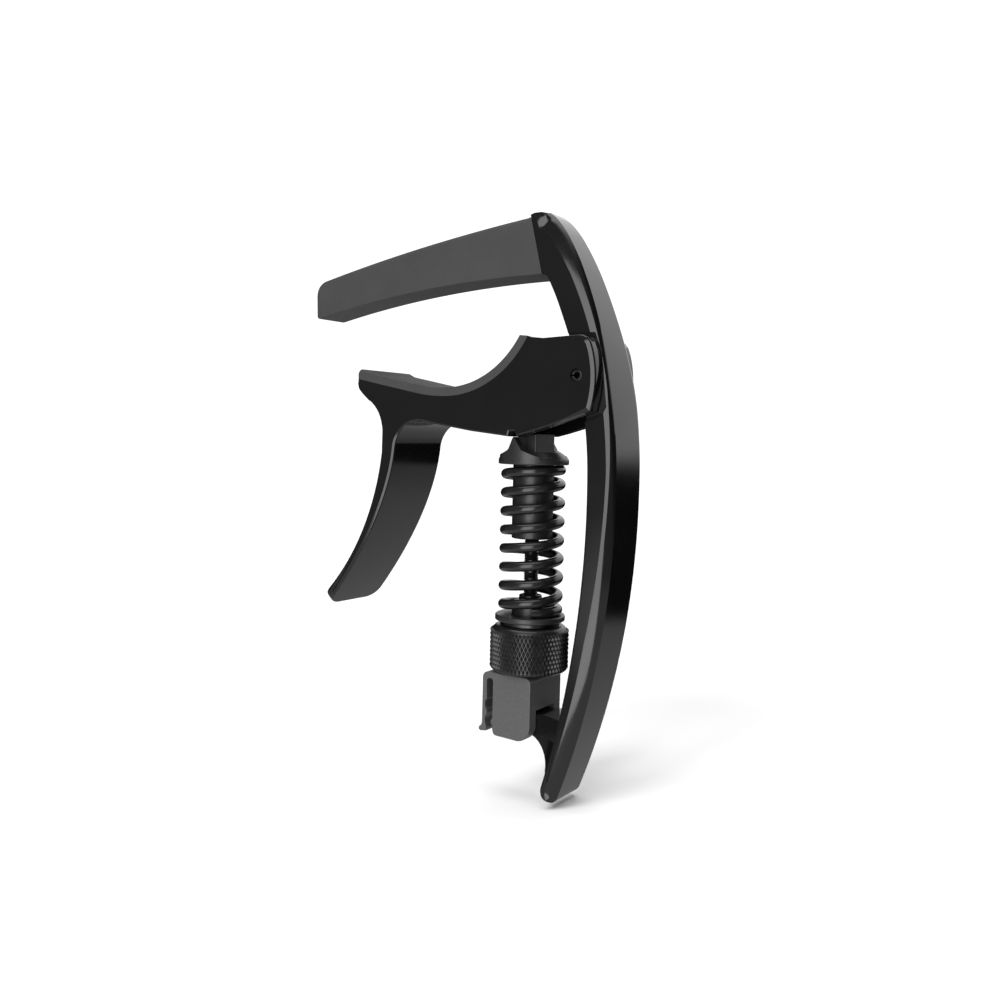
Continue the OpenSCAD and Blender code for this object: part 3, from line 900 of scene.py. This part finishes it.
def coil_height(share):
    """Height of the wire's centre: a quarter turn lies flat on the seat, and the climb eases in and out."""
    share = share.sum("MAXIMUM", share - flat_share, 0.0) / (1 - flat_share)
    top = 1 - share
    start = share * share / (2 * closed_share)
    ending = (1 - closed_share) - top * top / (2 * closed_share)
    middle = share - closed_share / 2
    early = share.sum("LESS_THAN", share, closed_share)
    late = share.sum("GREATER_THAN", share, 1 - closed_share)
    eased_share = start * early + ending * late + middle * (1 - early) * (1 - late)
    return eased_share * ((spring_high - spring_low) / (1 - closed_share)) + spring_low


def half_spring(name, first, last, rings_a_turn=48, wire_sides=20):
    rings = int((last - first) * turns * rings_a_turn)
    recipe = Recipe(name, {"Rings": rings + 1, "First share": first, "Last share": last,
                           "Coil radius": coil_r, "Wire radius": wire_r})
    line = recipe.add("GeometryNodeCurvePrimitiveLine", {}, {})
    points = recipe.add("GeometryNodeResampleCurve", {}, {"Curve": line, "Count": recipe.size("Rings")})
    place = recipe.add("GeometryNodeInputIndex") / (recipe.size("Rings") - 1)
    low_share, high_share = recipe.size("First share"), recipe.size("Last share")
    share = low_share + place * (high_share - low_share)
    angle = share * (2 * math.pi * turns) + first_angle
    radius = recipe.size("Coil radius")
    spot = recipe.add("ShaderNodeCombineXYZ", {}, {
        "X": angle.sum("COSINE", angle) * radius, "Y": angle.sum("SINE", angle) * radius,
        "Z": coil_height(share)})
    path = recipe.add("GeometryNodeSetPosition", {}, {"Geometry": points, "Position": spot})
    section = recipe.add("GeometryNodeCurvePrimitiveCircle", {}, {
        "Resolution": wire_sides, "Radius": recipe.size("Wire radius")})
    wire = recipe.add("GeometryNodeCurveToMesh", {}, {
        "Curve": path, "Profile Curve": section, "Fill Caps": True})
    return recipe.grow(wire, steel_black), rings, wire_sides


def hang_spring(name, first, last, moving_end, body):
    """Half of the spring, which stretches evenly between its middle on the strut and its end on a body."""
    half, rings, wire_sides = half_spring(name, first, last)
    polish(half, on_strut, steel_black, 40)
    half.name = name
    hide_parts("compression_spring")
    middle = on_strut @ Vector((0, 0, (spring_low + spring_high) / 2))
    end = on_strut @ Vector((0, 0, moving_end))
    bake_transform(half, "strut", body, start=tuple(middle), end=tuple(end))
    # one share for each ring of the wire, so that the wire stays round
    weights = half.data.attributes["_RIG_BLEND"].data
    inward = on_strut.inverted()
    heights = [(inward @ v.co).z for v in half.data.vertices]
    for i in range(rings + 1):
        ring = range(i * wire_sides, (i + 1) * wire_sides)
        height = sum(heights[k] for k in ring) / wire_sides
        share = (height - (spring_low + spring_high) / 2) / (moving_end - (spring_low + spring_high) / 2)
        for k in ring:
            weights[k].value = min(1.0, max(0.0, share))


hang_spring("compression_spring_lower", 0.0, 0.5, spring_low, "seat")
hang_spring("compression_spring_upper", 0.5, 1.0, spring_high, "yoke")


# Spring seat. Black glass-filled nylon flange under the coil, with a collar that centres it, and below it a
# dark steel washer that lets the wheel turn under load.
seat_top, seat_h, wheel_top, wheel_foot = 20.9, 1.2, 18.8, 9.5
seat = turned("spring_seat", rounded(
    [(2.5, seat_top - seat_h), (rim_r, seat_top - seat_h), (rim_r, seat_top), (3.7, seat_top),
     (3.7, seat_top + 2.6), (2.5, seat_top + 2.6)], {1: 0.35, 2: 0.35, 4: 0.3}))
polish(seat, on_strut, black_nylon, 28)
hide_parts("spring_seat")
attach(seat, "seat")

washer_low, washer_high = wheel_top + 0.05, seat_top - seat_h - 0.05
washer = turned("thrust_washer", rounded(
    [(2.5, washer_low), (6, washer_low), (6, washer_high), (2.5, washer_high)], {1: 0.15, 2: 0.15}))
polish(washer, on_strut, worn_metal("dark_steel", (0.06, 0.06, 0.062), 0.35), 28)
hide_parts("thrust_washer")
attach(washer, "seat")


# Tension wheel. Turned and knurled in black anodised aluminium: crossed rolled grooves leave rows of small
# diamonds between a rounded shoulder and a chamfered foot.
def anodised():
    """Black anodising: dark and evenly satin, with a faint drift in its shade."""
    material, plan, shader, place = finish("black_anodising", 0.008, 0.3)
    drift = noise(plan, place, 0.002)
    shade(plan, shader, drift, 0.006, 0.01)
    feed(plan, shader, "Roughness", plan.step(drift, 0.25, 0.75, 0.25, 0.36))
    return material


wheel_r, knurl_depth = 7.95, 0.42
wheel_black = anodised()
core_r = wheel_r - knurl_depth
wheel = turned("tension_wheel", rounded(
    [(2.8, wheel_foot), (7.2, wheel_foot), (core_r + 0.08, wheel_foot + 0.45),
     (core_r + 0.08, wheel_top - 1.0), (6.9, wheel_top), (2.8, wheel_top)], {1: 0.2, 2: 0.2, 3: 0.7, 4: 0.6}))
polish(wheel, on_strut, wheel_black, 28)
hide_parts("tension_wheel")
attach(wheel, "wheel")


def knurl():
    """Rows of flat-topped diamonds round the wheel, each row half a step on, trimmed to the wheel's ends."""
    sizes = {"Diamonds round": 60, "Rows": 9, "First row": wheel_foot + 0.95, "Row step": 0.905,
             "Core radius": core_r, "Depth": knurl_depth, "Wheel foot": wheel_foot + 0.25,
             "Wheel shoulder": wheel_top - 0.75}
    recipe = Recipe("wheel_knurl", sizes)
    count = recipe.size("Diamonds round")
    points = recipe.add("GeometryNodePoints", {}, {"Count": count * recipe.size("Rows")})
    index = recipe.add("GeometryNodeInputIndex")
    row = index.sum("FLOOR", index / count)
    column = index - row * count + row * 0.5
    turn = column * (2 * math.pi) / count
    radius = recipe.size("Core radius")
    spot = recipe.add("ShaderNodeCombineXYZ", {}, {
        "X": turn.sum("COSINE", turn) * radius, "Y": turn.sum("SINE", turn) * radius,
        "Z": recipe.size("First row") + row * recipe.size("Row step")})
    placed = recipe.add("GeometryNodeSetPosition", {}, {"Geometry": points, "Position": spot})
    cone = recipe.add("GeometryNodeMeshCone", {"fill_type": "NGON"}, {
        "Vertices": 4, "Radius Top": 0.14, "Radius Bottom": 1.0, "Depth": recipe.size("Depth")})
    half_round = radius * math.pi / count
    reach = recipe.add("ShaderNodeCombineXYZ", {}, {
        "X": half_round, "Y": recipe.size("Row step"), "Z": 1.0})
    diamond = recipe.add("GeometryNodeTransform", {}, {"Geometry": cone.out("Mesh"), "Scale": reach})
    facing = recipe.add("ShaderNodeCombineXYZ", {}, {"X": math.pi / 2, "Y": 0.0, "Z": turn + math.pi / 2})
    crests = recipe.add("GeometryNodeInstanceOnPoints", {}, {
        "Points": placed, "Instance": diamond, "Rotation": facing})
    real = recipe.add("GeometryNodeRealizeInstances", {}, {"Geometry": crests})
    # trimmed: past the foot and the shoulder the crests sink into the wheel's own slopes
    here = recipe.add("ShaderNodeSeparateXYZ", {}, {"Vector": recipe.add("GeometryNodeInputPosition")})
    x, y, z = here.out("X"), here.out("Y"), here.out("Z")
    foot_end, shoulder = recipe.size("Wheel foot"), recipe.size("Wheel shoulder")
    held = z.sum("MINIMUM", z.sum("MAXIMUM", z, foot_end), shoulder)
    past = z.sum("ABSOLUTE", z - held)
    out = x.sum("SQRT", x * x + y * y)
    allowed = radius + recipe.size("Depth") - past * 1.6
    shrink = out.sum("MINIMUM", allowed / out, 1.0)
    trimmed = recipe.add("ShaderNodeCombineXYZ", {}, {"X": x * shrink, "Y": y * shrink, "Z": held})
    shape = recipe.add("GeometryNodeSetPosition", {}, {"Geometry": real, "Position": trimmed})
    return recipe.grow(shape, wheel_black)


crests = knurl()
polish(crests, on_strut, wheel_black, 10)
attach(crests, "wheel")

insert = turned("wheel_insert", rounded(
    [(1.6, wheel_foot), (2.8, wheel_foot), (2.8, wheel_top), (2.3, wheel_top), (2.3, seat_top + 3.9),
     (1.6, seat_top + 3.9)], {4: 0.3}), steps=64)
polish(insert, on_strut, steel_black, 28)
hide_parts("wheel_insert")
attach(insert, "wheel")


# Tension rod. A black steel screw, three millimetres across with a half-millimetre thread, fixed in the
# bracket; its head slides in the yoke's tube and guides it.
rod_r, rod_foot, rod_head, pitch = 1.5, 4.4, 45.8, 0.5
rod = turned("tension_rod", rounded(
    [(0, rod_foot), (1.22, rod_foot), (1.22, rod_head), (2.1, rod_head), (2.1, rod_head + 1.6),
     (0, rod_head + 1.6)], {3: 0.2, 4: 0.3}), steps=48)
polish(rod, on_strut, steel_black, 28)
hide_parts("tension_rod")
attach(rod, "strut")


def thread():
    """The rod's thread: a sharp ridge that winds up the core."""
    length = rod_head - rod_foot - 0.6
    sizes = {"Turns": int(length / pitch), "Steps a turn": 20, "Core radius": 1.2, "Pitch": pitch,
             "Ridge": rod_r - 1.2, "Start": rod_foot + 0.3}
    recipe = Recipe("rod_thread", sizes)
    steps = recipe.size("Steps a turn")
    line = recipe.add("GeometryNodeCurvePrimitiveLine")
    points = recipe.add("GeometryNodeResampleCurve", {}, {
        "Curve": line, "Count": recipe.size("Turns") * steps + 1})
    turn = recipe.add("GeometryNodeInputIndex") / steps
    angle = turn * (2 * math.pi)
    radius = recipe.size("Core radius")
    spot = recipe.add("ShaderNodeCombineXYZ", {}, {
        "X": angle.sum("COSINE", angle) * radius, "Y": angle.sum("SINE", angle) * radius,
        "Z": turn * recipe.size("Pitch") + recipe.size("Start")})
    path = recipe.add("GeometryNodeSetPosition", {}, {"Geometry": points, "Position": spot})
    ridge = recipe.add("GeometryNodeCurvePrimitiveCircle", {}, {
        "Resolution": 4, "Radius": recipe.size("Ridge")})
    shape = recipe.add("GeometryNodeCurveToMesh", {}, {
        "Curve": path, "Profile Curve": ridge, "Fill Caps": True})
    return recipe.grow(shape, steel_black)


winding = thread()
polish(winding, on_strut, steel_black, 40)
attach(winding, "strut")


# Pick holder bracket. Moulded grey nylon with a spark-eroded grain: it straddles the frame's foot, carries
# the rod, and its waved slot grips a pick pushed in from below.
bracket_half, bracket_top, left, right, low_end, slot_w = 5.9, 9.2, -7.2, 4.15, -3.7, 1.5
slot_x = left + 1


def bracket():
    outline = (
        arc((left + 1.3, bracket_top - 1.3), 1.3, 180, 90, 8)
        + arc((right - 1.3, bracket_top - 1.3), 1.3, 90, 0, 8)
        + arc((right - 3, low_end + 3), 3, 0, -90, 12)
        + [(slot_x + slot_w + 0.75, low_end + 0.15), (slot_x + slot_w + 0.3, low_end + 0.5),
           (slot_x + slot_w + 0.05, low_end + 1.2), (slot_x + slot_w + 0.05, low_end + 2.0),
           (slot_x + slot_w - 0.35, low_end + 2.5), (slot_x + slot_w - 0.4, low_end + 3.0),
           (slot_x + slot_w, low_end + 3.6)]
        + arc((slot_x + slot_w / 2, bracket_top - 2), slot_w / 2, 0, 180, 10)
        + [(slot_x + 0.1, low_end + 7.4), (slot_x - 0.25, low_end + 6.9), (slot_x - 0.35, low_end + 6.2),
           (slot_x - 0.2, low_end + 5.4), (slot_x + 0.1, low_end + 5.0), (slot_x + 0.15, low_end + 4.4),
           (slot_x - 0.25, low_end + 3.6), (slot_x - 0.35, low_end + 3.0), (slot_x - 0.2, low_end + 2.2),
           (slot_x + 0.1, low_end + 1.4), (slot_x, low_end + 0.75), (left - 0.35, low_end + 0.55),
           (left - 0.75, low_end + 0.8), (left - 0.7, low_end + 1.35), (left - 0.2, low_end + 1.75),
           (left, low_end + 2.3)])
    body = slab("pick_bracket", outline, -bracket_half, bracket_half, 0.16, 4)
    room = 3.5
    carve(body, bar("foot_socket", 2.2, -room, room, steps=64))
    carve(body, slab("gusset_slot", [(-2.2, 0), (-1.6, -20), (20, -20), (20, 2.45), (2, 2.45), (1.4, 1.6)],
                     -room, room))
    carve(body, turned("rod_hole", [(0, 4.3), (1.5, 4.3), (1.5, 20), (0, 20)], steps=48))
    return body


grained = nylon("grained_grey_nylon", 0.062, 0.4, 0.00022, 0.00003)
holder = bracket()
polish(holder, on_strut, grained, 25)
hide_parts("pick_bracket")
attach(holder, "strut")
